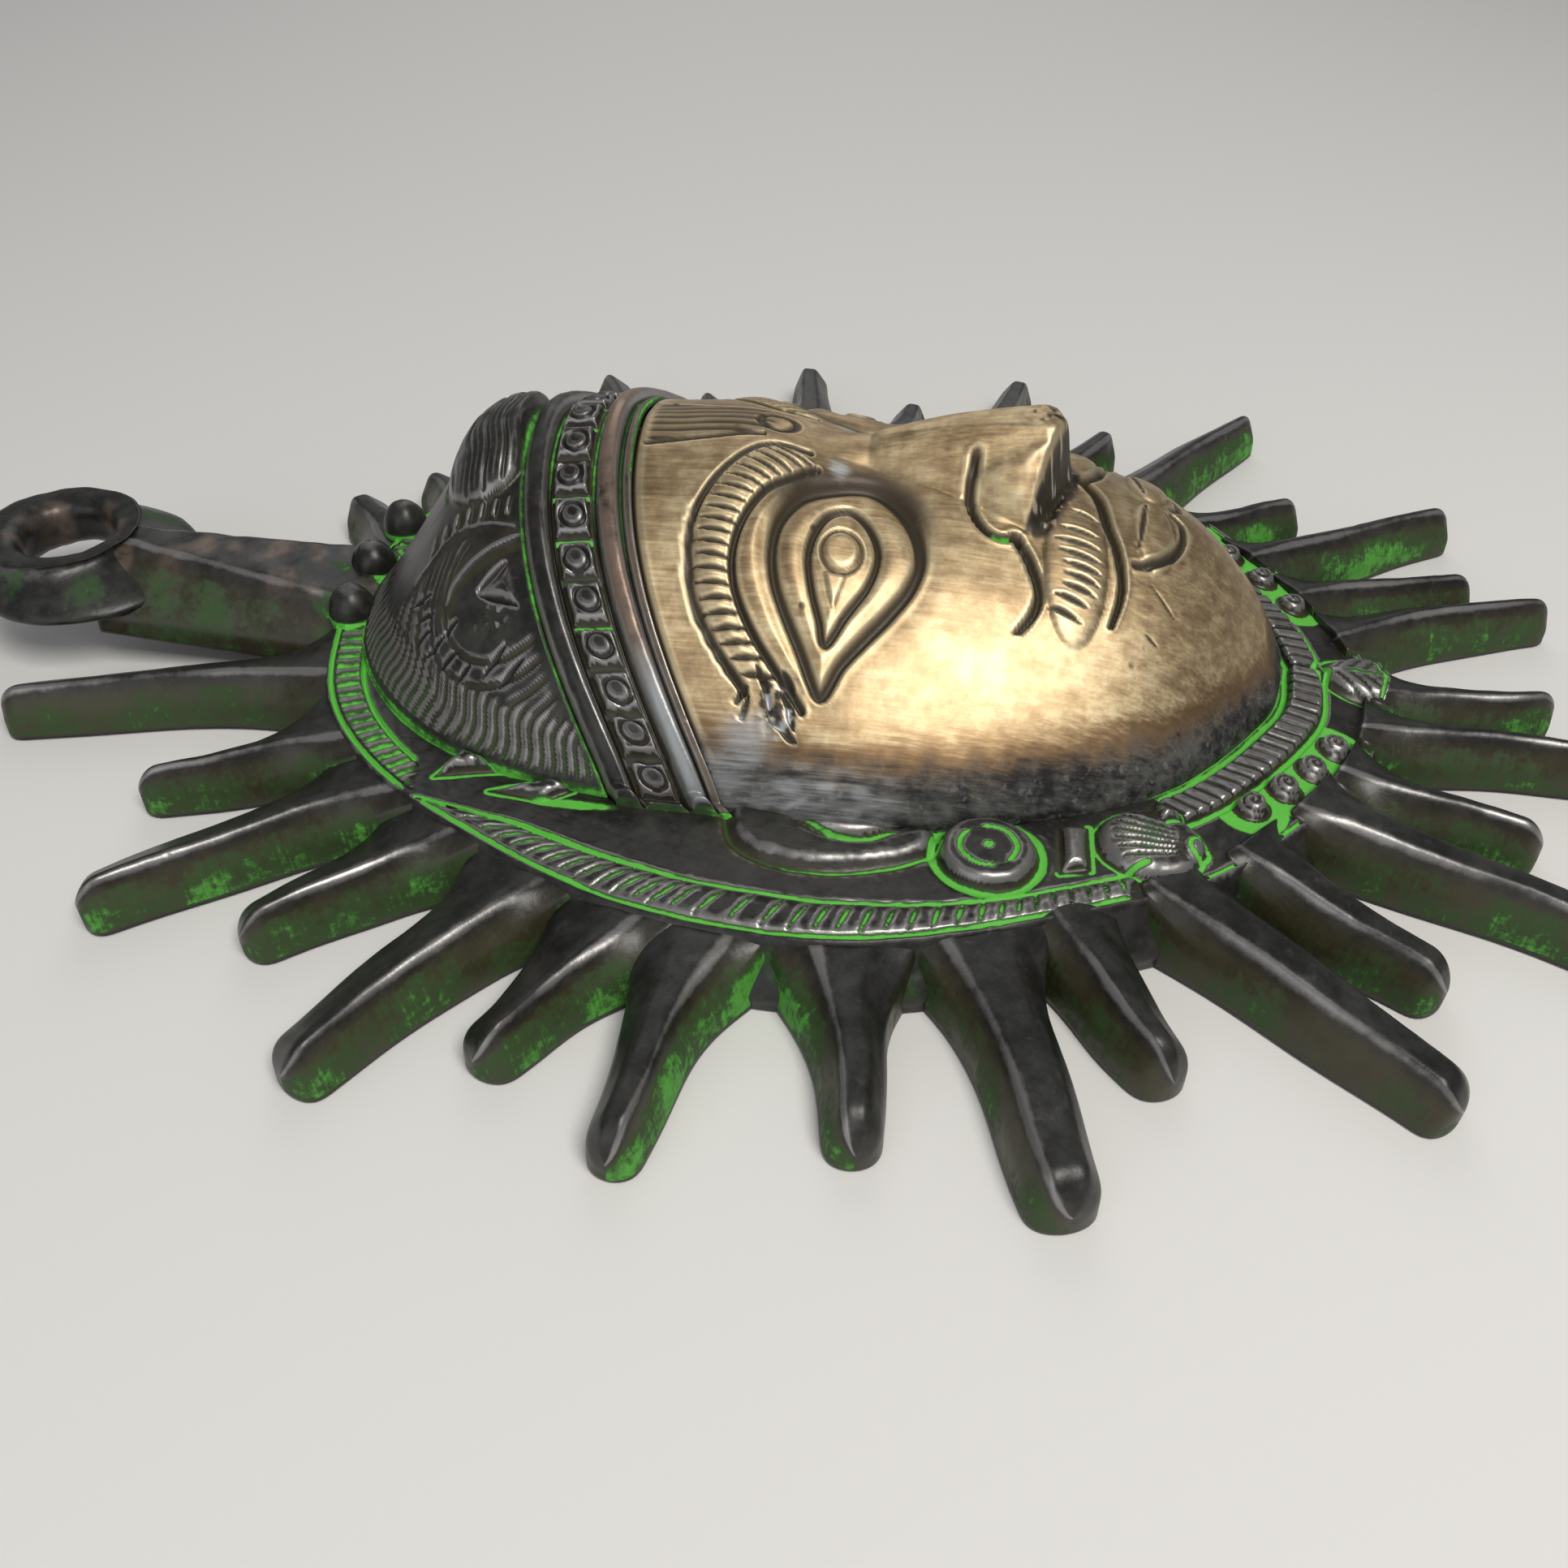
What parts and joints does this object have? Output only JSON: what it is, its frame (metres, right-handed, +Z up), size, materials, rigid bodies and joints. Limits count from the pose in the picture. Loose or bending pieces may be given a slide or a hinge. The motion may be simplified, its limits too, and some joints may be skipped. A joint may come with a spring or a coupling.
{
  "type": "sun face wall hanging",
  "caption": "Cast brass sun face mask with a ring of rays, hollow behind and hung flat on a wall by the ring at its top.",
  "frame": {"origin": "on the wall plane, straight behind the point where the nail bears in the top of the ring's bore", "axes": "+Z up towards the ring, +Y into the wall, the face looks along -Y, +X to the right of someone looking at the face"},
  "size_m": [0.1678, 0.042, 0.2225],
  "materials": {
    "dark_patina": "dark brown-black patina with green paint left in the recesses",
    "rubbed_brass": "brushed warm brass with brown mottling, rubbed clear of patina"
  },
  "bodies": {
    "root": {"sun_face_casting": "dark_patina"}
  },
  "joints": []
}
